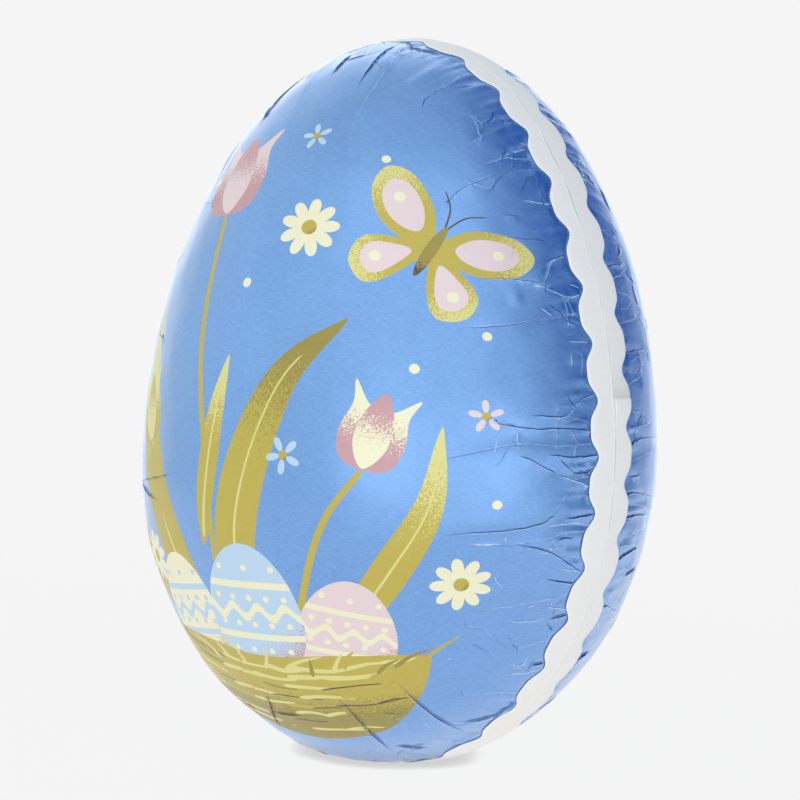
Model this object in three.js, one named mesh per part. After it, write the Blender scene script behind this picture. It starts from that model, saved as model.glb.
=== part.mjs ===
// A hollow chocolate egg in blue foil, standing on its wide end. Two half shells meet in an upright
// seam plane, each wrapped in its own sheet of foil, and a white ribbon with wavy edges is stuck
// round the seam. Millimetres, +Z up. The origin is on the table under the middle of the egg. The
// seam lies in the XZ plane, the front half faces -Y and the back half +Y.
import * as THREE from "three";

// Driving dimensions of the egg
const HEIGHT = 177.5; // from the table to the tip of the narrow end
const WIDTH = 128; // across the widest level
const WIDEST_LEVEL = 75; // height of the widest level above the table
const FLANK_SLIMNESS = 0.01; // share by which the narrow end's flanks fall inside a half ellipsoid
const REST_RADIUS = 12; // the wide end is pressed flat this far from its middle
const REST_ROUNDING = 1; // height over which that flat runs out into the round of the egg

// Driving dimensions of the ribbon and of the seam under it
const CLEARANCE = 0.3; // between the two halves, and between foil and ribbon
const RIBBON_WIDTH = 14.8;
const RIBBON_THICKNESS = 0.35;
const RIBBON_PROUD = 0.25; // how far the ribbon's face stands over the foil beside it
const CREST_HEIGHT = 0.15; // the fold that runs along the ribbon's middle, over the seam
const SCALLOPS = 36; // waves in each edge, all the way round
const SCALLOP_SWING = 1.75; // each way from the edge's mean line
const SCALLOP_SHARPNESS = 0.14; // share of the second wave that narrows the notches
const SCALLOP_STEPS = 6; // points along each wave
const FIRST_CREST = 12.3; // a wave's crest on the front half, along the seam
const RIBBON_END = 19; // where the ribbon's loose end lies, along the seam
const RIBBON_LAP = 16; // length of the double layer below that end
const LAP_EDGE = 0.4; // length over which the loose end drops to the layer under it

// Driving dimensions of the foil's pleats, which gather at the ribbon and fade out towards the
// middle of each half. Places along the seam count from the widest level at +X, upwards, over the
// tip and down the other side.
const PLEATS = 88; // round each half
const PLEAT_STEP = 1.3; // from a pleat's ridge to its valley
const PLEAT_SHIFT = 0.5; // how far a pleat strays from even spacing, as a share of the spacing
const SHORT_REACH = [14, 30]; // from the seam to where a pleat ends
const SHORT_HEIGHT = [0.1, 0.34]; // of a ridge over the smooth foil, and of a valley under it
const LONG_REACH = [30, 48];
const LONG_HEIGHT = 0.42;
const LONG_SHARE = 0.25; // of the pleats on the side towards -X
const LONG_DRIFT = 6; // how far a long pleat there strays along the seam on its way
const DRIFT_WAVES = 7; // turns of that drift from one way to the other, round the seam
const PLEATS_BEGIN = 9.4; // under the ribbon the foil is pressed flat
const PLEATS_FULL = 11.5;

// The two halves. side is the way each faces along Y, and folds are the long pleats on the side
// towards +X: [place along the seam, reach from the seam, drift along the seam on the way].
const FRONT = {
  side: -1,
  seed: 11,
  folds: [
    [-90, 46, 3], [-72, 50, 7], [-59, 24, -1], [-41, 22, -4], [-29, 35, -6], [-21, 39, 1],
    [-12, 31, -4], [-1, 52, -9], [9, 50, -1], [17, 40, -2], [38, 44, 7], [52, 36, -3],
    [79, 38, -1], [90, 27, -1], [124, 54, -10],
  ],
};
const BACK = {
  side: 1,
  seed: 4200,
  folds: [
    [-80, 44, -6], [-52, 38, 5], [-34, 32, -3], [-21, 30, 1], [-8, 33, -3], [5, 34, 4],
    [14, 36, 3], [25, 48, 9], [46, 40, 6], [62, 34, 5], [118, 46, 8],
  ],
};

// Distances from the seam plane, round the widest circle, of the rows of points on each half
const ROWS = [CLEARANCE / 2, PLEATS_BEGIN, PLEATS_FULL, 14, 17.5, 22, 28, 36, 46, 58, 70, 82, 92];
const OUTLINE_STEPS = 2400; // of the table of lengths along the seam

const FOIL = { color: 0x6d9fe6, roughness: 0.38, metalness: 0.75 };
const PAPER = { color: 0xf1f3f3, roughness: 0.55, metalness: 0 };

const RADIUS = WIDTH / 2;
const UPPER = HEIGHT - WIDEST_LEVEL; // both ends of the egg are close to half ellipsoids
const LOWER = (WIDEST_LEVEL + REST_ROUNDING) / Math.sqrt(1 - (REST_RADIUS / RADIUS) ** 2);
const SEAT = CLEARANCE + RIBBON_THICKNESS - RIBBON_PROUD; // how deep the foil lies under the ribbon
const FULL_TURN = 2 * Math.PI;
const { euclideanModulo, lerp, seededRandom, smoothstep } = THREE.MathUtils;

// The larger of two values, with the corner between them rounded over a height.
function roundedMax(a, b, rounding) {
  const overlap = Math.max(rounding - Math.abs(a - b), 0) / rounding;
  return Math.max(a, b) + (overlap * overlap * rounding) / 4;
}

// The half axis of the egg, up or down, that a direction of the seam plane falls in.
function axisAt(around) {
  return Math.sin(around) >= 0 ? UPPER : LOWER;
}

// From the middle of the widest level to the seam, in a direction of the seam plane.
function outlineRadius(around) {
  const ellipse = 1 / Math.hypot(Math.cos(around) / RADIUS, Math.sin(around) / axisAt(around));
  const slimness = Math.sin(around) > 0 ? FLANK_SLIMNESS * Math.sin(2 * around) ** 2 : 0;
  return ellipse * (1 - slimness);
}

// A point of the egg: around turns in the seam plane from +X towards +Z, and away is the distance
// from that plane, measured round the widest circle. lift is the height over the smooth skin, and
// floor the lowest level that the point may reach.
function skinPoint(around, away, lift, floor) {
  const latitude = away / RADIUS;
  const reach = outlineRadius(around) * Math.cos(latitude);
  const point = new THREE.Vector3(
    reach * Math.cos(around), RADIUS * Math.sin(latitude), reach * Math.sin(around),
  );
  const normal = new THREE.Vector3(
    point.x / RADIUS ** 2, point.y / RADIUS ** 2, point.z / axisAt(around) ** 2,
  ).normalize();
  point.addScaledVector(normal, lift);
  point.z = roundedMax(point.z + WIDEST_LEVEL, floor, REST_ROUNDING);
  return point;
}

// Places along the seam, and the direction of each.
function seamTable() {
  const table = [{ along: 0, around: 0 }];
  let last = skinPoint(0, 0, 0, -HEIGHT);
  for (let i = 1; i <= OUTLINE_STEPS; i++) {
    const around = (i / OUTLINE_STEPS) * FULL_TURN;
    const point = skinPoint(around, 0, 0, -HEIGHT);
    table.push({ along: table[i - 1].along + point.distanceTo(last), around });
    last = point;
  }
  return table;
}

const SEAM = seamTable();
const SEAM_LENGTH = SEAM[OUTLINE_STEPS].along;

// The direction of a place along the seam.
function aroundAt(along) {
  const turns = Math.floor(along / SEAM_LENGTH);
  const rest = along - turns * SEAM_LENGTH;
  let low = 0;
  let high = OUTLINE_STEPS;
  while (high - low > 1) {
    const middle = (low + high) >> 1;
    if (SEAM[middle].along <= rest) low = middle;
    else high = middle;
  }
  const share = (rest - SEAM[low].along) / (SEAM[high].along - SEAM[low].along);
  return SEAM[low].around + share * (SEAM[high].around - SEAM[low].around);
}

// How far it is along the seam from one place to another, the short way round.
function seamGap(from, to) {
  return euclideanModulo(to - from + SEAM_LENGTH / 2, SEAM_LENGTH) - SEAM_LENGTH / 2;
}

// The pleats of one half, in order along the seam. Only the long ones have a drift of their own.
function pleatsOf({ folds, seed }) {
  const spacing = SEAM_LENGTH / PLEATS;
  const pleats = Array.from({ length: PLEATS }, (_, k) => {
    const draws = Array.from({ length: 5 }, (_, n) => seededRandom(seed + k * 5 + n));
    const along = (k + 0.5 + PLEAT_SHIFT * (draws[0] - 0.5)) * spacing;
    const long = Math.cos(aroundAt(along)) < 0 && draws[1] < LONG_SHARE;
    return {
      along,
      reach: lerp(...(long ? LONG_REACH : SHORT_REACH), draws[2]),
      height: long ? LONG_HEIGHT : lerp(...SHORT_HEIGHT, draws[3]),
      turned: draws[4] < 0.5 ? -1 : 1, // which way the fold is laid over
      drift: long ? LONG_DRIFT * Math.sin((along / SEAM_LENGTH) * DRIFT_WAVES * FULL_TURN) : null,
    };
  });
  for (const [along, reach, drift] of folds) {
    const gap = (pleat) => seamGap(pleat.along, along);
    const nearest = pleats.reduce((a, b) => (Math.abs(gap(a)) < Math.abs(gap(b)) ? a : b));
    Object.assign(nearest, { reach, drift: drift + gap(nearest), height: LONG_HEIGHT });
  }
  return pleats;
}

// How far the pleats have run along the seam at a distance from it. The long ones set the drift,
// and what lies between two of them shares it out, so that no pleat crosses another.
function driftAt(longPleats, along, away) {
  const after = longPleats.find((pleat) => pleat.along > along) ?? longPleats[0];
  const before = longPleats.at(longPleats.indexOf(after) - 1);
  const drift = (pleat) => pleat.drift * Math.min(away / pleat.reach, 1);
  const share = seamGap(before.along, along) / seamGap(before.along, after.along);
  return lerp(drift(before), drift(after), share);
}

// The share of a pleat's height that it has at a distance from the seam.
function pleatShare(pleat, away) {
  const begins = smoothstep(away, PLEATS_BEGIN, PLEATS_FULL);
  return begins * (1 - smoothstep(away, PLEATS_FULL, pleat.reach));
}

// Puts the vertex of each column and row of a lathe's grid where place says.
function bent(lathe, columns, rows, place) {
  const position = lathe.getAttribute("position");
  for (let i = 0; i <= columns; i++)
    for (let j = 0; j < rows; j++) {
      const point = place(i % columns, j);
      position.setXYZ(i * rows + j, point.x, point.y, point.z);
    }
  lathe.computeVertexNormals();
  return lathe;
}

// One half of the egg with its foil: a half ellipsoid whose columns follow the ridges and valleys
// of the pleats, closed by a flat face in the seam plane.
function eggHalf(half) {
  const { side } = half;
  const pleats = pleatsOf(half);
  const longPleats = pleats.filter((pleat) => pleat.drift !== null);
  const columns = 2 * PLEATS;
  const latitudes = ROWS.map((away) => away / RADIUS);
  const profile = latitudes.map((angle) => new THREE.Vector2(Math.cos(angle), Math.sin(angle)));
  profile.unshift(new THREE.Vector2(0, profile[0].y));
  profile.push(new THREE.Vector2(0, 1));
  const lathe = new THREE.LatheGeometry(profile, columns);
  const last = profile.length - 1;
  return bent(lathe, columns, profile.length, (i, j) => {
    if (j === 0) return new THREE.Vector3(0, (side * CLEARANCE) / 2, WIDEST_LEVEL);
    if (j === last) return skinPoint(0, (side * RADIUS * Math.PI) / 2, 0, 0);
    const column = side < 0 ? i : columns - 1 - i; // the back's run the other way, to face out
    const pleat = pleats[column >> 1];
    const edge = column % 2 ? 1 : -1;
    const away = ROWS[j - 1];
    const along = pleat.along + (edge * PLEAT_STEP) / 2;
    const around = aroundAt(along + driftAt(longPleats, along, away));
    const seat = 1 - smoothstep(away, PLEATS_BEGIN, PLEATS_FULL);
    const lift = edge * pleat.turned * pleat.height * pleatShare(pleat, away) - SEAT * seat;
    return skinPoint(around, side * away, lift, (CLEARANCE + RIBBON_THICKNESS) * seat);
  });
}

// How far one of the ribbon's edges, -1 at the front or 1 at the back, is from the seam. The two
// swing together, so a crest on one faces a notch on the other, and both have broad crests.
function ribbonEdge(along, side) {
  const turn = ((along - FIRST_CREST) / SEAM_LENGTH) * SCALLOPS * FULL_TURN;
  const wave = -side * Math.cos(turn) - SCALLOP_SHARPNESS * Math.cos(2 * turn);
  return side * (RIBBON_WIDTH / 2 + SCALLOP_SWING * wave);
}

// The places along the seam where the ribbon has points: even steps, and two at the loose end.
function ribbonPlaces() {
  const count = SCALLOPS * SCALLOP_STEPS;
  const even = Array.from({ length: count }, (_, i) => (i / count) * SEAM_LENGTH);
  const clear = SEAM_LENGTH / count / 2;
  const kept = even.filter((along) => Math.abs(along - RIBBON_END) > clear);
  const ends = [RIBBON_END - LAP_EDGE / 2, RIBBON_END + LAP_EDGE / 2];
  return [...kept, ...ends].sort((a, b) => a - b);
}

// The height of the ribbon's face over the foil. The double layer stops at the loose end, and
// below it the layer underneath runs out gently.
function faceLift(along) {
  const start = RIBBON_END - RIBBON_LAP;
  const double = along > RIBBON_END ? 0 : smoothstep(along, start, start + RIBBON_LAP / 2);
  return RIBBON_PROUD + RIBBON_THICKNESS * double;
}

// The ribbon: a closed strip round the seam, with a face, a back and a low crest on its middle.
function seamRibbon() {
  const places = ribbonPlaces();
  // Corners of its section: across, from -1 at the front edge to 1, and 1 for face or 0 for back
  const section = [[-1, 1], [-1, 0], [0, 0], [1, 0], [1, 1], [0, 1], [-1, 1]];
  const profile = section.map(([across, face]) => new THREE.Vector2(2 + face, across));
  const lathe = new THREE.LatheGeometry(profile, places.length);
  return bent(lathe, places.length, section.length, (i, j) => {
    const along = places[i];
    const [across, face] = section[j];
    const away = across ? ribbonEdge(along, across) : 0;
    const crest = across === 0 ? CREST_HEIGHT : 0;
    const lift = face ? faceLift(along) + crest : RIBBON_PROUD - RIBBON_THICKNESS;
    return skinPoint(aroundAt(along), away, lift, face ? 0 : RIBBON_THICKNESS);
  });
}

const egg = new THREE.Group();

function addPiece(name, geometry, finish) {
  const piece = new THREE.Mesh(geometry, new THREE.MeshStandardMaterial(finish));
  piece.name = name;
  egg.add(piece);
}

addPiece("egg_front", eggHalf(FRONT), FOIL);
addPiece("egg_back", eggHalf(BACK), FOIL);
addPiece("seam_ribbon", seamRibbon(), PAPER);

export default egg;
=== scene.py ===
"""A hollow chocolate egg in printed blue foil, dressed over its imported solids.

The egg stands on its wide end. Two half shells meet in an upright seam plane, the XZ plane. Each is
wrapped in its own sheet of lacquered foil, gathered into pleats along the seam, and a white paper
ribbon with wavy edges is stuck round it. The front sheet, towards -Y, carries a printed spring
picture, and the back one is plain. Lengths are millimetres until a mesh is made, and metres there.
"""

import logging
import math
from dataclasses import dataclass, field
from enum import Enum
from functools import cached_property

import bpy
import numpy as np
from mathutils import Matrix, Vector
from mathutils.geometry import delaunay_2d_cdt

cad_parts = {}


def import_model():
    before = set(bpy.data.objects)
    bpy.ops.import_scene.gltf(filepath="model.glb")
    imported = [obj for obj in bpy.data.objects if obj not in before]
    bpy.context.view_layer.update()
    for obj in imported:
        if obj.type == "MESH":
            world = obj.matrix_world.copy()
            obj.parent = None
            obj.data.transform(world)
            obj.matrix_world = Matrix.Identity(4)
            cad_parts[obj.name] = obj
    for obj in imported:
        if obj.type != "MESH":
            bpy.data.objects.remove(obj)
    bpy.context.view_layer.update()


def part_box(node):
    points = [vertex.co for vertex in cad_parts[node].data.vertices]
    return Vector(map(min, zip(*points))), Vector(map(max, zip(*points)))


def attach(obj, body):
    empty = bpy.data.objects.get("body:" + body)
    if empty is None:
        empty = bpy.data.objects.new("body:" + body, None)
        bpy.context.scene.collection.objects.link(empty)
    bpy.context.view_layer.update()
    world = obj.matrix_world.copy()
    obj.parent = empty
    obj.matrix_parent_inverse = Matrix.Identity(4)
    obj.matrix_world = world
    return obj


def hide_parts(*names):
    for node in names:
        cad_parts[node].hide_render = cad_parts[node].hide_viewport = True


LOG = logging.getLogger("egg")
Array = np.ndarray
Pair = tuple[float, float]
Triple = tuple[float, float, float]
Path = tuple[Pair, ...]
Colour = tuple[float, float, float, float]
MM = 0.001
FULL_TURN = 2 * math.pi


def linear(code: str) -> Colour:
    """Turns a hash sign and six hexadecimal digits into the linear colour that shaders use."""
    shares = [int(code[i : i + 2], 16) / 255 for i in (1, 3, 5)]
    return *(s / 12.92 if s <= 0.04045 else ((s + 0.055) / 1.055) ** 2.4 for s in shares), 1.0


def smooth(values: Array, low: float | Array, high: float | Array) -> Array:
    """Rises smoothly from 0 at the low value to 1 at the high one."""
    share = np.clip((values - low) / (high - low), 0, 1)
    return share * share * (3 - 2 * share)


def bell(values: Array, centre: float, width: float) -> Array:
    """Gives 1 at the centre, and less the further off a value is, in the form of a bell."""
    return np.exp(-(((values - centre) / width) ** 2))


def peak(values: Array, centre: float, width: float) -> Array:
    """Gives 1 at the centre, and falls in straight lines to 0 at the width on each side."""
    return np.maximum(1 - np.abs(values - centre) / width, 0)


def direction(azimuth: float, elevation: float) -> Vector:
    """Points away from the egg, by degrees from -Y towards +X and degrees above the horizon."""
    turn, rise = math.radians(azimuth), math.radians(elevation)
    return Vector((math.sin(turn) * math.cos(rise), -math.cos(turn) * math.cos(rise), math.sin(rise)))


def unit(vectors: Array) -> Array:
    """Scales vectors to a length of 1."""
    return vectors / np.linalg.norm(vectors, axis=-1, keepdims=True)


def leftwards(line: Array, lengths: Array) -> Array:
    """Gives steps of these lengths to the left of a flat line, one for each of its points."""
    run = unit(np.gradient(line, axis=0))
    return np.stack([-run[:, 1], run[:, 0]], -1) * lengths[:, None]


def band(line: Array, half: Array) -> Array:
    """Outlines a band along a flat line, from half its width at each point."""
    off = leftwards(line, half)
    return np.vstack([line + off, (line - off)[::-1]])


def mirrored(right: Path) -> Array:
    """Outlines a shape from its right side, which has a point on the axis at one end or both."""
    side = np.array(right, float)
    return np.vstack([side, side[side[:, 0] > 0][::-1] * (-1, 1)])


def spline(points: Path | Array, step: float, closed: bool = False) -> Array:
    """Draws a smooth line through points.

    Args:
        points: What the line runs through, in order.
        step: Distance between the points that come back.
        closed: Whether it runs back to its first point.

    Returns:
        Points along the line, without the first one again when it is closed.
    """
    knots = np.asarray(points, float)
    if closed:
        knots = np.vstack([knots[-1:], knots, knots[:2]])
    else:
        knots = np.vstack([2 * knots[0] - knots[1], knots, 2 * knots[-1] - knots[-2]])
    line = []
    for a, b, c, d in zip(knots, knots[1:], knots[2:], knots[3:]):
        count = max(1, math.ceil(float(np.linalg.norm(c - b)) / step))
        t = (np.arange(count) / count)[:, None]
        line.append(0.5 * (2 * b + (c - a) * t + (2 * a - 5 * b + 4 * c - d) * t**2
                           + (3 * b - a - 3 * c + d) * t**3))
    if not closed:
        line.append(knots[-2:-1])
    return np.vstack(line)


class Signal:
    """A socket of a shader graph. Arithmetic on it adds Math nodes."""

    def __init__(self, graph: "Graph", socket: bpy.types.NodeSocket | None) -> None:
        """Wraps an output socket of a graph."""
        self.graph = graph
        self.socket = socket

    def maths(self, operation: str, *values: "Signal | float") -> "Signal":
        """Adds a Math node with these inputs."""
        return self.graph.node("ShaderNodeMath", {"operation": operation}, dict(enumerate(values)))

    def __add__(self, other: "Signal | float") -> "Signal":
        """Adds."""
        return self.maths("ADD", self, other)

    def __sub__(self, other: "Signal | float") -> "Signal":
        """Subtracts."""
        return self.maths("SUBTRACT", self, other)

    def __rsub__(self, other: float) -> "Signal":
        """Subtracts from a number."""
        return self.maths("SUBTRACT", other, self)

    def __mul__(self, other: "Signal | float") -> "Signal":
        """Multiplies."""
        return self.maths("MULTIPLY", self, other)

    __radd__ = __add__
    __rmul__ = __mul__

    def step(self, low: "Signal | float", high: "Signal | float") -> "Signal":
        """Rises smoothly from 0 at the low value to 1 at the high one."""
        inputs = {"Value": self, "From Min": low, "From Max": high}
        return self.graph.node("ShaderNodeMapRange", {"interpolation_type": "SMOOTHSTEP"}, inputs)


class Graph:
    """The node tree of a material or of the world."""

    def __init__(self, tree: bpy.types.NodeTree) -> None:
        """Takes over a tree and empties it."""
        self.tree = tree
        tree.nodes.clear()

    @staticmethod
    def _socket(sockets: bpy.types.bpy_prop_collection, key: int | str) -> bpy.types.NodeSocket:
        """Finds a socket by its number, identifier or name."""
        found = None if isinstance(key, int) else next((s for s in sockets if s.identifier == key), None)
        return found or sockets[key]

    def node(self, kind: str, settings: dict | None = None, inputs: dict | None = None,
             output: int | str = 0) -> Signal:
        """Adds a node.

        Args:
            kind: Its type.
            settings: Its properties, set first.
            inputs: Values or signals, by socket number, identifier or name.
            output: Which socket to give back.

        Returns:
            That output.
        """
        made = self.tree.nodes.new(kind)
        for name, value in (settings or {}).items():
            setattr(made, name, value)
        for name, value in (inputs or {}).items():
            socket = self._socket(made.inputs, name)
            if isinstance(value, Signal):
                self.tree.links.new(value.socket, socket)
            else:
                socket.default_value = value
        return Signal(self, self._socket(made.outputs, output) if len(made.outputs) else None)

    def mix(self, share: Signal | float, a: Signal | Colour, b: Signal | Colour,
            blend: str = "MIX") -> Signal:
        """Mixes two colours. The share is how much of the second there is."""
        settings = {"data_type": "RGBA", "blend_type": blend}
        return self.node("ShaderNodeMix", settings, {"Factor_Float": share, "A_Color": a, "B_Color": b},
                         "Result_Color")

    def stored(self, name: str, output: str = "Fac") -> Signal:
        """Reads a value or a colour stored on the mesh."""
        return self.node("ShaderNodeAttribute", {"attribute_name": name}, {}, output)

    def noise(self, waves: Triple, detail: float = 2.0) -> Signal:
        """Makes noise round 0.5 that is fixed to the object, from waves in a metre along each axis."""
        scaled = {"Vector": self.node("ShaderNodeTexCoord", {}, {}, "Object"), "Scale": waves}
        return self.node("ShaderNodeTexNoise", {}, {
            "Vector": self.node("ShaderNodeMapping", {}, scaled), "Scale": 1.0, "Detail": detail})

    def bump(self, height: Signal, strength: float, distance: float) -> Signal:
        """Turns a height, and the metres that it stands for, into a normal."""
        inputs = {"Height": height, "Strength": strength, "Distance": distance}
        return self.node("ShaderNodeBump", {}, inputs, "Normal")

    def surface(self, inputs: dict) -> None:
        """Ends a material's graph with one surface."""
        made = self.node("ShaderNodeBsdfPrincipled", {}, inputs)
        self.node("ShaderNodeOutputMaterial", {}, {"Surface": made})


@dataclass(frozen=True)
class LacqueredFoil:
    """Aluminium foil under a blue lacquer, printed with opaque inks and worn bright on sharp folds.

    Of two values, the first is that of the plain foil and the second that of the ink.
    """

    lacquer: str = "#4c8edb"
    pale: str = "#69aaed"
    # Colour of the painted shade in crease valleys and in the line beside the ribbon.
    shade: str = "#102a66"
    bare: str = "#e4efff"
    metallic: Pair = (0.92, 0.25)
    roughness: Pair = (0.31, 0.4)
    varnish: Pair = (1.0, 0.25)
    varnish_roughness: float = 0.26
    varnish_index: float = 2.1
    weave: Triple = (900, 900, 3200)
    clouds: Triple = (55, 55, 30)
    speckles: Triple = (2600, 2600, 2600)
    scuffs: Triple = (900, 900, 900)
    grain: Triple = (1500, 1500, 1500)
    grain_height: float = 0.00002
    grain_share: float = 0.6  # of the fine grain beside the weave, in the bump
    bump_strength: float = 0.6
    weave_contrast: float = 1.6
    cloud_contrast: float = 0.6
    sheen_swing: float = 0.12  # of the roughness, with the weave
    spray_edge: float = 0.12
    ink_fleck: Pair = (0.35, 0.12)  # level and strength of the pale flecks in the inks
    wear_range: Pair = (0.2, 0.75)
    # Of the painted shade in crease valleys and beside the ribbon: its share of the shade colour, and how
    # much varnish it takes away to look darker.
    valley_shade: float = 0.85
    valley_dulling: float = 0.8
    worn_bareness: float = 0.9
    worn_dulling: float = 0.45

    def material(self, name: str) -> bpy.types.Material:
        """Makes the material.

        Args:
            name: Its name.

        Returns:
            A material that reads ink, coverage, spray_ink, spray, painted shade and wear from the mesh.
        """
        made = bpy.data.materials.new(name)
        made.use_nodes = True
        g = Graph(made.node_tree)
        weave = g.noise(self.weave)
        speckle = g.noise(self.speckles, 1.0)
        cloud = g.noise(self.clouds)
        # Painted shade, stored on the mesh along crease valleys and beside the ribbon.
        painted_shade = g.stored("painted_shade")
        wear = (g.stored("wear") * (0.4 + 1.2 * g.noise(self.scuffs, 1.0))).step(*self.wear_range)
        coverage = g.stored("coverage")

        patch = (weave - 0.5) * self.weave_contrast + (cloud - 0.5) * self.cloud_contrast + 0.5
        tint = g.mix(patch, linear(self.lacquer), linear(self.pale))
        sprayed = (g.stored("spray") * 1.1).step(speckle - self.spray_edge, speckle + self.spray_edge)
        inks = g.mix(sprayed, g.stored("ink", "Color"), g.stored("spray_ink", "Color"))
        inks = g.mix((weave - self.ink_fleck[0]) * self.ink_fleck[1], inks, linear("#ffffff"))
        colour = g.mix(coverage, tint, inks)
        # Paints the shade into the colour; the varnish is thinned there too.
        colour = g.mix(painted_shade * self.valley_shade, colour, linear(self.shade))
        colour = g.mix(wear * self.worn_bareness, colour, linear(self.bare))
        pairs = (self.metallic, self.roughness, self.varnish)
        metallic, roughness, varnish = (plain + coverage * (inked - plain) for plain, inked in pairs)
        height = weave + g.noise(self.grain, 1.0) * self.grain_share
        g.surface({
            "Base Color": colour,
            "Metallic": metallic * (1 - wear * self.worn_dulling),
            "Roughness": roughness + (weave - 0.5) * self.sheen_swing,
            "Normal": g.bump(height, self.bump_strength, self.grain_height),
            "Coat Weight": varnish * (1 - painted_shade * self.valley_dulling),
            "Coat Roughness": self.varnish_roughness,
            "Coat IOR": self.varnish_index,
        })
        return made


@dataclass(frozen=True)
class MattPaper:
    """Thin coated paper, with painted highlights along its edges and painted shade in the groove of the fold
    along its middle.
    """

    face: str = "#f7f5f2"
    clean: str = "#fcfaf8"
    # White of the painted highlights along the edges and beside the fold.
    painted_highlight: str = "#ffffff"
    # Grey of the flecks all over, and of the painted shade in the groove and beside the loose end.
    dust_and_shade: str = "#a9aba6"
    roughness: float = 0.62
    fibres: Triple = (1800, 1800, 1800)
    clouds: Triple = (70, 70, 70)
    fibre_height: float = 0.00003
    bump_strength: float = 0.3
    cloud_contrast: float = 0.5
    fleck: Pair = (0.06, 0.2)  # of dust, all over, and its swing with the fibres
    sheen_swing: float = 0.1

    def material(self, name: str) -> bpy.types.Material:
        """Makes the material.

        Args:
            name: Its name.

        Returns:
            A material that reads the painted highlights and the painted shade in the fold from the mesh.
        """
        made = bpy.data.materials.new(name)
        made.use_nodes = True
        g = Graph(made.node_tree)
        fibre = g.noise(self.fibres, 3.0)
        cloud = g.noise(self.clouds)
        patch = (cloud - 0.5) * self.cloud_contrast + 0.5
        colour = g.mix(patch, linear(self.face), linear(self.clean))
        colour = g.mix((fibre - 0.5) * self.fleck[1] + self.fleck[0], colour, linear(self.dust_and_shade))
        # Painted shade in the groove and beside the loose end, then painted highlights along the edges and
        # beside the fold.
        colour = g.mix(g.stored("fold"), colour, linear(self.dust_and_shade))
        colour = g.mix(g.stored("painted_highlight"), colour, linear(self.painted_highlight))
        bump = g.bump(fibre, self.bump_strength, self.fibre_height)
        roughness = self.roughness + (fibre - 0.5) * self.sheen_swing
        g.surface({"Base Color": colour, "Roughness": roughness, "Normal": bump})
        return made


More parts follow.
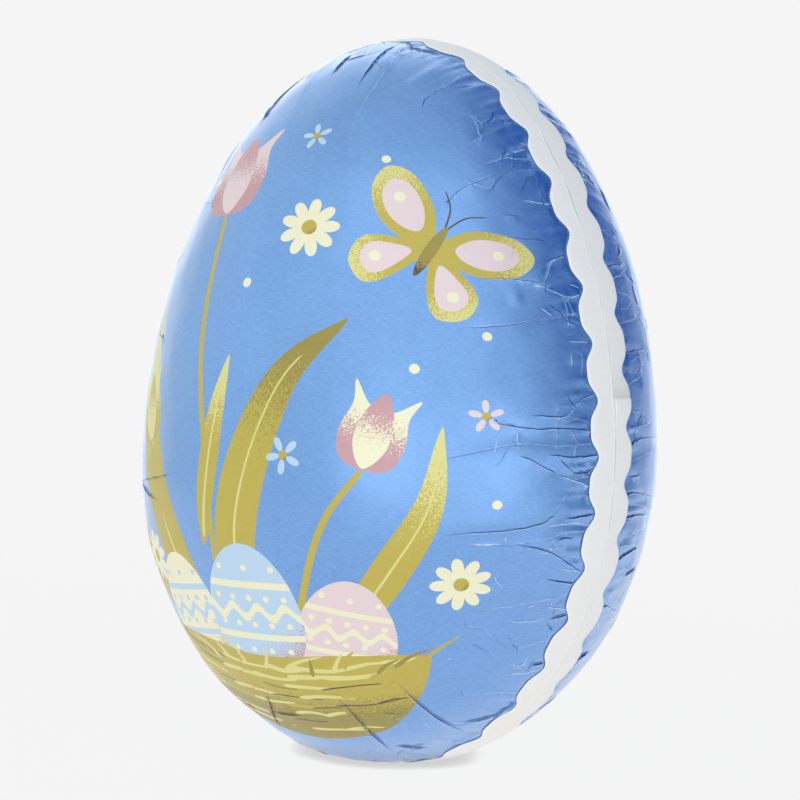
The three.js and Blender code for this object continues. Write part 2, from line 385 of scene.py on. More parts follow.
@dataclass(frozen=True)
class EggForm:
    """The smooth egg, close to two half ellipsoids that share their widest level.

    A place on it is named in three ways. around turns in the seam plane from +X towards +Z. along is
    the length along the seam from +X, and away the distance from the seam plane, measured round the
    widest circle. On the unrolled sheet of a half, flat distances from the pole are kept: a point is
    the pole's distance times the seam point that it faces. A side is -1 for the front half and 1 for
    the back one.
    """

    radius: float
    height: float
    widest_level: float = 75.0
    flank_slimness: float = 0.01
    rest_radius: float = 12.0
    rest_rounding: float = 1.0
    table_steps: int = 2400

    @property
    def upper(self) -> float:
        """Half axis of the narrow end."""
        return self.height - self.widest_level

    @property
    def lower(self) -> float:
        """Half axis of the wide end, which would reach below the table if it weren't pressed flat."""
        share = math.sqrt(1 - (self.rest_radius / self.radius) ** 2)
        return (self.widest_level + self.rest_rounding) / share

    def outline(self, around: Array) -> Array:
        """Gives the distance from the middle of the widest level to the seam.

        Args:
            around: Directions in the seam plane.

        Returns:
            The distances.
        """
        axis = np.where(np.sin(around) >= 0, self.upper, self.lower)
        slimness = np.where(np.sin(around) > 0, self.flank_slimness * np.sin(2 * around) ** 2, 0)
        return (1 - slimness) / np.hypot(np.cos(around) / self.radius, np.sin(around) / axis)

    @cached_property
    def seam(self) -> tuple[Array, Array]:
        """Measures the seam.

        Returns:
            Lengths along it, and the direction at each.
        """
        around = np.linspace(0, FULL_TURN, self.table_steps + 1)
        points = self.outline(around) * (np.cos(around), np.sin(around))
        steps = np.hypot(*np.diff(points))
        return np.concatenate([[0.0], np.cumsum(steps)]), around

    @property
    def seam_length(self) -> float:
        """Length all the way round the seam."""
        return float(self.seam[0][-1])

    def even_places(self, count: int) -> Array:
        """Gives places at even steps all round the seam."""
        return np.arange(count) / count * self.seam_length

    def skin(self, along: Array, away: Array, side: float) -> Array:
        """Finds points of the smooth egg.

        Args:
            along: Places along the seam.
            away: Distances from the seam plane.
            side: Which half they are on.

        Returns:
            Points measured from the middle of the widest level.
        """
        around = np.interp(np.mod(along, self.seam_length), *self.seam)
        latitude = away / self.radius
        reach = self.outline(around) * np.cos(latitude)
        rise = side * self.radius * np.sin(latitude)
        return np.stack([reach * np.cos(around), rise, reach * np.sin(around)], -1)

    def normal(self, points: Array) -> Array:
        """Gives the outward direction at points of the smooth egg."""
        axis = np.where(points[..., 2:] >= 0, self.upper, self.lower)
        return unit(points / np.where([True, True, False], self.radius, axis) ** 2)

    def unroll(self, points: Array) -> Array:
        """Lays points of one half flat.

        Args:
            points: Points near the smooth egg.

        Returns:
            Their places on the unrolled sheet.
        """
        x, y, z = np.moveaxis(points, -1, 0)
        reach = self.outline(np.arctan2(z, x))
        flat = np.hypot(x, z)
        latitude = np.arctan2(np.abs(y) / self.radius, flat / reach)
        return np.stack([x, z], -1) * ((math.pi / 2 - latitude) * reach / np.maximum(flat, 1e-9))[..., None]

    def place(self, sheet: Array) -> tuple[Array, Array]:
        """Reads points of the unrolled sheet.

        Args:
            sheet: The points.

        Returns:
            Their places along the seam and away from it.
        """
        around = np.arctan2(sheet[:, 1], sheet[:, 0])
        latitude = math.pi / 2 - np.hypot(*sheet.T) / self.outline(around)
        along = np.interp(np.mod(around, FULL_TURN), self.seam[1], self.seam[0])
        return along, latitude * self.radius

    def stood(self, points: Array, floor: Array) -> Array:
        """Stands points on the table.

        Args:
            points: Points measured from the middle of the widest level.
            floor: Lowest level each may reach.

        Returns:
            Points measured from the table, with the wide end pressed flat and rounded into the egg.
        """
        made = points.copy()
        level = points[:, 2] + self.widest_level
        overlap = np.maximum(self.rest_rounding - np.abs(level - floor), 0) / self.rest_rounding
        made[:, 2] = np.maximum(level, floor) + overlap**2 * self.rest_rounding / 4
        return made


@dataclass(frozen=True)
class Section:
    """The section of a crease, across it."""

    ridge: float  # height of the ridge
    valley: float  # depth beside it, under the fold
    spread: float  # over which the ridge dies away on its gentle side
    drop: float  # width of the steep side
    shade: float  # darkness of the painted shade in the valley
    wear: float  # brightness of the ridge
    kink: float  # how far the crease strays from its path
    rows: tuple[float, ...]  # where the mesh has lines of points


class CreaseKind(Enum):
    """How foil creases."""

    PRESSED = Section(0.33, 0.23, 1.4, 0.2, 1.0, 0.65, 0.07, (-0.9, -0.28, -0.08, 0.0, 0.1, 0.2, 0.4, 1.0))
    WORN = Section(0.13, 0.08, 0.4, 0.1, 0.25, 1.0, 0.12, (-0.35, -0.09, 0.0, 0.09, 0.2, 0.45))
    SOFT = Section(0.3, 0.06, 2.6, 1.6, 0.0, 0.0, 0.0, ())


@dataclass(frozen=True)
class Crease:
    """A crease in a sheet of foil. Its path names places along the seam and away from it."""

    kind: CreaseKind
    path: Path
    turned: int = 1  # 1 or -1, the way its fold is laid over
    strength: float = 1.0

    END_SHARE = 0.35  # of its length, over which a crease dies away
    STEP = 0.6
    LAP = 10.5  # a crease that starts nearer to the seam comes out from under the ribbon
    KINK_SPACING = 1.6
    SEED_WEIGHTS = (1310, 170)  # of the places in its path, which seed its kinks

    @cached_property
    def kinked(self) -> Array:
        """Draws the path in small steps, with its kinks.

        Returns:
            Points named by their places along the seam and away from it.
        """
        path = spline(self.path, self.STEP)
        draw = np.random.default_rng(int(np.abs(np.array(self.path) @ self.SEED_WEIGHTS).sum()))
        gone = np.arange(len(path)) * self.STEP
        knots = np.arange(0, gone[-1] + 2 * self.KINK_SPACING, self.KINK_SPACING)
        stray = np.interp(gone, knots, draw.normal(0, self.kind.value.kink, len(knots)))
        return path + leftwards(path, stray)

    def line(self, form: EggForm, side: float) -> tuple[Array, Array, Array]:
        """Lays the crease on the egg.

        Args:
            form: The egg.
            side: The half that it is on.

        Returns:
            Points along it, the direction across it at each, and the share of its height it has there.
        """
        points = form.skin(*self.kinked.T, side)
        across = unit(np.cross(form.normal(points), np.gradient(points, axis=0)) * self.turned)
        share = np.linspace(0, 1, len(points))
        height = 1 - smooth(share, 1 - self.END_SHARE, 1.0)
        if self.path[0][1] > self.LAP:
            height *= smooth(share, -0.05, self.END_SHARE)
        return points, across, height * self.strength


def creases(kind: CreaseKind, *paths: Path) -> list[Crease]:
    """Makes creases of one kind, laid over to one side and the other in turn."""
    return [Crease(kind, path, 1 if i % 2 else -1) for i, path in enumerate(paths)]


FRONT_CREASES = [
    *creases(
        CreaseKind.PRESSED,
        ((120, 15), (123, 18), (123, 21), (120, 32), (117, 46)), ((130, 11), (129, 17), (125, 33)),
        ((127, 12), (124, 19)), ((139, 18), (137, 29)), ((149, 20), (149, 26)), ((159, 29), (158, 35)),
        ((181, 44), (170, 53)), ((222, 54), (217, 61)), ((128, 9), (123, 11), (116, 7)),
        ((117, 9), (103, 6)), ((89, 12), (89, 24)), ((90, 10), (88, 5)),
        ((76, 10), (77, 14), (78, 23), (79, 32), (77, 36)), ((67, 9), (63, 7)),
        ((54, 10), (53, 14), (49, 18), (50, 22), (55, 34)), ((40, 10), (40, 17), (41, 30), (45, 43)),
        ((21, 6), (19, 12), (16, 17), (17, 27)), ((14, 8), (15, 13), (14, 18)),
        ((12, 9), (13, 18), (14, 28), (17, 38)), ((9, 9), (9, 20), (10, 32), (7, 49)),
        ((6, 6), (6, 15), (7, 22)), ((7, 29), (4, 23), (2, 19)), ((3, 6), (2, 13), (6, 19)),
        ((1, 9), (1, 11)), ((-1, 13), (-8, 19), (-11, 25), (-15, 42), (-19, 50)), ((-4, 8), (-3, 11)),
        ((-8, 6), (-9, 15)), ((-13, 6), (-12, 13), (-16, 29), (-17, 34)),
        ((-22, 7), (-17, 19), (-16, 29)), ((-19, 6), (-18, 14)), ((-24, 6), (-25, 9), (-24, 18)),
        ((-28, 9), (-31, 21), (-36, 34)), ((-33, 6), (-35, 12)), ((-41, 8), (-41, 12), (-46, 22)),
        ((-47, 6), (-48, 11)), ((-57, 9), (-57, 15), (-60, 23)), ((-61, 7), (-67, 12), (-70, 19)),
        ((-74, 9), (-80, 12)), ((-84, 16), (-88, 24)), ((385, 41), (370, 47), (366, 54), (370, 63)),
        ((366, 33), (368, 40), (373, 50)), ((369, 41), (382, 42)), ((366, 35), (378, 37)),
        ((277, 53), (289, 69)), ((277, 53), (276, 82)),
    ),
    *creases(
        CreaseKind.WORN,
        ((92, 6), (91, 11)), ((79, 9), (81, 16), (82, 24)), ((82, 8), (82, 18)), ((76, 6), (76, 10)),
        ((67, 9), (69, 15), (70, 17)), ((83, 8), (84, 10)), ((54, 10), (53, 17)),
        ((44, 8), (44, 11), (47, 17), (49, 12)), ((47, 17), (49, 21)), ((40, 17), (43, 20)),
        ((44, 12), (36, 13)), ((46, 7), (47, 10)), ((33, 7), (34, 14)), ((31, 13), (27, 13)),
        ((14, 30), (10, 30)), ((14, 30), (16, 36)), ((-1, 9), (2, 19)),
        ((-11, 6), (-10, 12), (-11, 23)), ((-18, 40), (-16, 31)), ((-14, 31), (-16, 31)),
        ((-22, 6), (-21, 14)), ((-32, 20), (-31, 18)), ((-34, 12), (-36, 20), (-36, 25)),
        ((-29, 14), (-32, 12)), ((-32, 7), (-31, 15)), ((-45, 13), (-48, 13)), ((-47, 12), (-49, 17)),
        ((-49, 6), (-52, 17)), ((-52, 34), (-52, 33)),
    ),
    *creases(CreaseKind.SOFT, ((113, 12), (113, 29)), ((46, 24), (46, 28))),
    Crease(CreaseKind.PRESSED, ((-73, 14), (-72, 19), (-70, 30), (-67, 41)), -1, 1.1),
    Crease(CreaseKind.PRESSED, ((-91, 21), (-89, 30), (-87, 40), (-87, 47)), -1, 1.0),
]
BACK_CREASES = [
    *creases(
        CreaseKind.PRESSED,
        ((94, 4), (90, 8)), ((81, 5), (83, 16)), ((74, 7), (76, 12)), ((50, 4), (54, 19)),
        ((37, 6), (39, 16), (41, 20)), ((30, 9), (32, 22)), ((25, 6), (28, 10), (31, 21), (34, 31)),
        ((25, 17), (20, 15)), ((12, 10), (13, 23)), ((7, 8), (9, 13), (9, 31)),
        ((4, 10), (5, 16), (7, 36)), ((0, 10), (0, 15)), ((-3, 7), (-1, 12)),
        ((-5, 7), (-4, 12), (-8, 33)), ((-8, 8), (-7, 13), (-11, 35)),
        ((-10, 9), (-10, 15), (-11, 24)), ((-15, 10), (-14, 16), (-15, 25)),
        ((-21, 6), (-19, 17), (-21, 24)), ((-25, 11), (-24, 17), (-25, 26)), ((-26, 15), (-26, 26)),
        ((-31, 5), (-31, 11)), ((-35, 6), (-33, 10), (-38, 22)), ((-45, 8), (-43, 9)),
        ((-49, 7), (-48, 16)), ((-62, 6), (-56, 10)),
    ),
    *creases(
        CreaseKind.WORN,
        ((77, 5), (81, 16)), ((61, 8), (61, 11)), ((48, 7), (50, 14), (53, 19)), ((45, 8), (45, 18)),
        ((22, 7), (26, 20)), ((16, 10), (16, 18)), ((-11, 9), (-11, 12)), ((-38, 10), (-40, 13)),
        ((-17, 8), (-18, 19)),
    ),
]


class Ink(Enum):
    """The inks of the printed picture."""

    MUSTARD = "#c2b03a"
    LEMON = "#e2dc8a"
    OLIVE = "#9c8b2a"
    CREAM = "#f4f1cf"
    SKY = "#bcd9f3"
    BLUSH = "#ead6da"
    ROSE = "#ca9aa2"
    BARK = "#4b3b14"

    @property
    def colour(self) -> Colour:
        """The ink's linear colour."""
        return linear(self.value)


@dataclass(frozen=True)
class Spray:
    """A second ink, sprayed over a motif from nothing at one point to most at another."""

    ink: Ink
    start: Pair
    end: Pair
    most: float = 1.0

    def amount(self, sheet: Array) -> Array:
        """Gives how densely points of the sheet are sprayed."""
        run = np.subtract(self.end, self.start)
        return self.most * np.clip((sheet - self.start) @ run / (run @ run), 0, 1)


@dataclass(frozen=True)
class Motif:
    """One flat shape of the picture, on the unrolled sheet."""

    outline: Array
    ink: Ink
    spray: Spray | None = None

    def holds(self, points: Array) -> Array:
        """Finds the points inside the shape.

        Args:
            points: Points of the unrolled sheet.

        Returns:
            A flag for each.
        """
        inside = np.zeros(len(points), bool)
        low, high = self.outline.min(0), self.outline.max(0)
        near = np.flatnonzero(np.all((points >= low) & (points <= high), axis=1))
        x, y = points[near].T[..., None]
        x0, y0 = self.outline.T
        x1, y1 = np.roll(self.outline, -1, axis=0).T
        with np.errstate(divide="ignore", invalid="ignore"):
            crossing = ((y0 > y) != (y1 > y)) & (x < (x1 - x0) * (y - y0) / (y1 - y0) + x0)
        inside[near] = crossing.sum(1) % 2 == 1
        return inside


@dataclass
class SpringPicture:
    """The picture on the front sheet: a straw nest of painted eggs, tulips, daisies and a butterfly.

    Each motif is drawn round the origin, and then turned by its lean, in degrees to the left, and
    moved to its centre. A spray's amounts, and the shares of a motif's size, have no unit.
    """

    step: float = 1.0
    seed: int = 5
    motifs: list[Motif] = field(default_factory=list)

    TAPER = 0.12  # how much narrower a painted egg is above than below
    BANDS = ((0.42, 0.1, 0.0), (0.02, 0.13, 0.09), (-0.36, 0.1, 0.0))  # level, width and wave
    BAND_TURNS = 3.5  # half waves in a wavy band
    DOTS = ((0.23, 5), (-0.17, 5), (0.66, 3), (-0.58, 4))  # level of each row, and its number of dots
    TULIP = ((0, 0), (0.3, 0.08), (0.4, 0.4), (0.34, 0.75), (0.4, 1.02), (0.14, 0.78))
    PETAL = ((0, 0.02), (0.2, 0.3), (0.17, 0.7), (0, 0.97))
    LOWER_WING = ((0.02, 0), (0.2, -0.03), (0.36, -0.12), (0.36, -0.28), (0.22, -0.36), (0.1, -0.24))
    UPPER_WING = ((0.02, 0.05), (0.12, 0.26), (0.34, 0.4), (0.5, 0.36), (0.49, 0.18), (0.34, 0.03),
                  (0.14, -0.02))
    FEELER = ((0, 0.16), (0.05, 0.32), (0.14, 0.42))
    BOWL = ((-1, 0.05), (-0.5, 0.1), (0, 0.06), (0.5, 0.1), (1, 0.05), (1.04, -0.1), (0.9, -0.5),
            (0.62, -0.86), (0.2, -1), (-0.2, -1), (-0.62, -0.86), (-0.9, -0.5), (-1.04, -0.1))
    STRAWS = (Ink.LEMON, Ink.OLIVE, Ink.MUSTARD, Ink.LEMON, Ink.BARK)
    STRAW_ROWS = 9
    STRAW_LENGTH, STRAW_WIDTH, THIN_STRAW = (10, 22), (1.1, 1.9), 0.55
    SHORTEST_STRAW = 6
    LOOSE_STRAWS = 15
    DOT_RADIUS, DOT_SPAN = 0.85, 0.74  # of a painted egg's dots, and of its width, the share they cross
    LEAF_SPRAY, EGG_SPRAY = 0.8, 0.75
    WING_PANEL = 0.66  # of a wing

    def add(self, outline: Array, ink: Ink, spray: Spray | None = None) -> None:
        """Prints one shape over what is there."""
        self.motifs.append(Motif(outline, ink, spray))

    def turned(self, points: Path | Array, centre: Pair, lean: float) -> Array:
        """Turns points and moves them."""
        c, s = math.cos(math.radians(lean)), math.sin(math.radians(lean))
        return np.asarray(points, float) @ np.array([[c, s], [-s, c]]) + centre

    def spot(self, point: Pair, centre: Pair, lean: float) -> Pair:
        """Turns one point and moves it."""
        return tuple(self.turned([point], centre, lean)[0])

    def shape(self, points: Array, centre: Pair, lean: float, ink: Ink, spray: Spray) -> None:
        """Prints the rounded shape that runs through these points."""
        self.add(self.turned(spline(points, self.step, closed=True), centre, lean), ink, spray)

    def oval(self, centre: Pair, half: Pair, lean: float = 0.0, taper: float = 0.0) -> Array:
        """Draws an oval.

        Args:
            centre: Its middle.
            half: Half its width and half its height.
            lean: Its lean.
            taper: How much narrower it is above than below.

        Returns:
            Its outline.
        """
        count = max(10, round(FULL_TURN * math.hypot(*half) / 1.42 / self.step))
        turn = np.linspace(0, FULL_TURN, count, endpoint=False)
        width = half[0] * np.cos(turn) * (1 - taper * np.sin(turn))
        return self.turned(np.stack([width, half[1] * np.sin(turn)], -1), centre, lean)

    def dots(self, places: Path | list[Pair], radius: float, ink: Ink) -> None:
        """Prints round dots."""
        for place in places:
            self.add(self.oval(place, (radius, radius)), ink)

    def stroke(self, path: Path | Array, widths: Pair, ink: Ink) -> None:
        """Prints a brush stroke.

        Args:
            path: Points it runs through.
            widths: Its width at its start and at its end.
            ink: Its ink.
        """
        line = spline(path, self.step)
        share = np.linspace(0, 1, len(line))
        rounding = np.sqrt(np.clip(np.minimum(share, 1 - share) * len(line) / 1.5, 0.08, 1))
        self.add(band(line, (widths[0] + (widths[1] - widths[0]) * share) * rounding / 2), ink)

    def leaf(self, path: Path, width: float, light: bool = False) -> None:
        """Prints a long leaf with a pale vein.

        Args:
            path: Points along its middle, from its foot to its tip.
            width: Its greatest width.
            light: Whether its tip is sprayed with the lighter ink.
        """
        line = spline(path, self.step)
        share = np.linspace(0, 1, len(line))
        outline = band(line, width / 2 * np.sin(math.pi * share**0.8) ** 0.8 + 0.15)
        middle = len(line) // 2
        tip = line[-1] + outline[middle] - line[middle]
        ink = Ink.LEMON if light else Ink.OLIVE
        spray = Spray(ink, tuple(line[len(line) // 3]), tuple(tip), self.LEAF_SPRAY)
        self.add(outline, Ink.MUSTARD, spray)
        self.stroke(line[2 : -max(3, len(line) // 6)], (0.9, 0.4), Ink.LEMON)

    def painted_egg(self, centre: Pair, half: Pair, lean: float, ink: Ink, shade: Ink, trim: Ink) -> None:
        """Prints an egg with bands and dots.

        Args:
            centre: Its middle.
            half: Half its width and half its height.
            lean: Its lean.
            ink: Its main ink.
            shade: The ink sprayed on its shaded side.
            trim: The ink of its bands and dots.
        """
        corner = (centre[0] + half[0], centre[1] - half[1])
        self.add(self.oval(centre, half, lean, self.TAPER), ink, Spray(shade, centre, corner, self.EGG_SPRAY))
        x = np.linspace(-1, 1, 25)
        for level, width, wave in self.BANDS:
            edges = []
            for rise in (width / 2, -width / 2):
                y = level + wave * np.sin(x * self.BAND_TURNS * math.pi) + rise
                reach = np.sqrt(np.clip(1 - y**2, 0, 1)) * 0.995 * (1 - self.TAPER * y)
                edges.append(np.stack([x * reach, y], -1) * half)
            self.add(self.turned(np.vstack([edges[0], edges[1][::-1]]), centre, lean), trim)
        for level, count in self.DOTS:
            reach = math.sqrt(1 - level * level) * half[0] * self.DOT_SPAN
            row = [(x, level * half[1]) for x in np.linspace(-reach, reach, count)]
            self.dots([self.spot(point, centre, lean) for point in row], self.DOT_RADIUS, trim)

    def tulip(self, stem: Path, size: float, lean: float, ink: Ink, shade: Ink) -> None:
        """Prints a tulip on its stem.

        Args:
            stem: Points along the stem, from its foot to the flower.
            size: Height of the flower.
            lean: The flower's lean.
            ink: Ink of its petals.
            shade: Ink sprayed on them.
        """
        self.stroke(stem, (2.0, 1.5), Ink.MUSTARD)
        head = stem[-1]
        top = self.spot((0, size), head, lean)
        self.shape(mirrored(self.TULIP) * size, head, lean, ink, Spray(shade, top, head, 0.9))
        self.shape(mirrored(self.PETAL) * size, head, lean, ink, Spray(shade, head, top, 0.85))

    def daisy(self, centre: Pair, radius: float, petals: int, ink: Ink, lean: float = 0.0) -> None:
        """Prints a daisy seen from above.

        Args:
            centre: Its middle.
            radius: From its middle to the tips of its petals.
            petals: Number of petals.
            ink: Ink of its petals.
            lean: The first petal's lean.
        """
        for angle in lean + 360 * np.arange(petals) / petals:
            middle = self.spot((0, radius * 0.6), centre, angle)
            self.add(self.oval(middle, (radius * 0.2, radius * 0.42), angle, -0.2), ink)
        heart = (centre[0] + radius * 0.2, centre[1] - radius * 0.2)
        self.add(self.oval(centre, (radius * 0.26, radius * 0.26)), Ink.MUSTARD,
                 Spray(Ink.OLIVE, centre, heart, 0.8))

    def butterfly(self, centre: Pair, span: float, lean: float) -> None:
        """Prints a butterfly with open wings.

        Args:
            centre: Middle of its body.
            span: Across its wings.
            lean: Its lean.
        """
        for flip in (1, -1):
            size = np.array([flip, 1]) * span
            for wing in (self.LOWER_WING * size, self.UPPER_WING * size):
                tip, middle = self.spot(wing[3], centre, lean), wing.mean(0)
                self.shape(wing, centre, lean, Ink.MUSTARD, Spray(Ink.LEMON, centre, tip, 0.6))
                panel = middle + (wing - middle) * self.WING_PANEL
                self.shape(panel, centre, lean, Ink.BLUSH, Spray(Ink.ROSE, tip, centre, 0.35))
                mark = self.spot(middle + (wing[3] - middle) * 0.2, centre, lean)
                self.dots([mark], span * 0.035, Ink.CREAM)
            self.stroke(self.turned(self.FEELER * size, centre, lean), (0.5, 0.4), Ink.BARK)
        self.add(self.oval(centre, (span * 0.035, span * 0.19), lean), Ink.OLIVE,
                 Spray(Ink.BARK, centre, (centre[0], centre[1] - span * 0.2), 0.8))

    def nest(self, centre: Pair, wide: float, deep: float) -> None:
        """Prints a nest woven of straw.

        Args:
            centre: Middle of its rim.
            wide: Half the width of its rim.
            deep: Its depth.
        """
        draw = np.random.default_rng(self.seed)
        low = (centre[0], centre[1] - deep)
        self.shape(self.BOWL * np.array([wide, deep]), centre, 0.0, Ink.MUSTARD,
                   Spray(Ink.OLIVE, centre, low, 0.95))
        for level in (np.arange(self.STRAW_ROWS) + 0.5) / self.STRAW_ROWS:
            reach = wide * math.sqrt(1 - (level * 0.93) ** 2) * 0.97
            x = -reach + draw.uniform(0, 5)
            while x < reach - self.SHORTEST_STRAW:
                long = min(draw.uniform(*self.STRAW_LENGTH), reach - x)
                share = np.array([x, x + long / 2, x + long]) / wide
                sag = -deep * level + deep * 0.1 * share**2 + draw.uniform(-0.8, 0.8, 3)
                ink = self.STRAWS[int(draw.integers(len(self.STRAWS)))]
                width = self.THIN_STRAW if ink is Ink.BARK else draw.uniform(*self.STRAW_WIDTH)
                self.stroke(np.stack([share * wide, sag], -1) + centre, (width, width * 0.6), ink)
                x += long * draw.uniform(0.55, 0.9)
        for x in np.linspace(-wide * 0.98, wide * 0.98, self.LOOSE_STRAWS):
            foot = np.array([x + draw.uniform(-2, 2), -draw.uniform(1, 4)])
            tip = foot + (np.sign(x) * draw.uniform(3, 9) + draw.uniform(-4, 4), draw.uniform(4, 8))
            path = np.array([foot, (foot + tip) / 2 + (draw.uniform(-1, 1), 0.6), tip]) + centre
            self.stroke(path, (1.5, 0.5), self.STRAWS[int(draw.integers(3))])

    def build(self) -> list[Motif]:
        """Prints the picture.

        Returns:
            Its shapes, those on top last.
        """
        self.leaf(((-6, -48), (-24, -22), (-38, 10), (-40, 38)), 13, light=True)
        self.leaf(((2, -48), (2, -12), (12, 20), (27, 38)), 12)
        self.leaf(((22, -48), (40, -24), (50, -6), (52, 14)), 9, light=True)
        self.leaf(((-14, -48), (-38, -34), (-50, -18)), 8)
        self.tulip(((-4, -46), (-7, -5), (-14, 30), (-17, 62)), 27, 6, Ink.BLUSH, Ink.ROSE)
        self.tulip(((-18, -46), (-28, -16), (-36, 2)), 19, 16, Ink.LEMON, Ink.MUSTARD)
        self.tulip(((14, -46), (24, -14), (34, 2)), 20, -14, Ink.CREAM, Ink.ROSE)
        self.leaf(((-9, -20), (-6, 8), (-3, 26)), 6, light=True)
        self.painted_egg((-21, -40), (13, 16), 12, Ink.CREAM, Ink.MUSTARD, Ink.SKY)
        self.painted_egg((28, -41), (12.5, 15.5), -13, Ink.BLUSH, Ink.ROSE, Ink.CREAM)
        self.painted_egg((3.5, -36), (14, 18), 2, Ink.SKY, Ink.ROSE, Ink.CREAM)
        self.nest((3, -50), 42, 31)
        self.butterfly((43, 60), 44, -18)
        self.daisy((12, 60), 8, 9, Ink.CREAM)
        self.daisy((-37, -28), 7, 9, Ink.CREAM, 12)
        self.daisy((57, -28), 7.5, 9, Ink.CREAM, 7)
        self.daisy((-44, 52), 5, 5, Ink.SKY)
        self.daisy((15, 4), 4.5, 5, Ink.SKY, 30)
        self.daisy((62, 18), 4.5, 5, Ink.BLUSH, 10)
        self.daisy((4, 88), 4.5, 5, Ink.SKY, 20)
        self.dots(((26, 84), (60, 40), (-2, 44), (-50, 22), (44, 28), (66, -6), (-30, 74)), 1.3, Ink.CREAM)
        return self.motifs


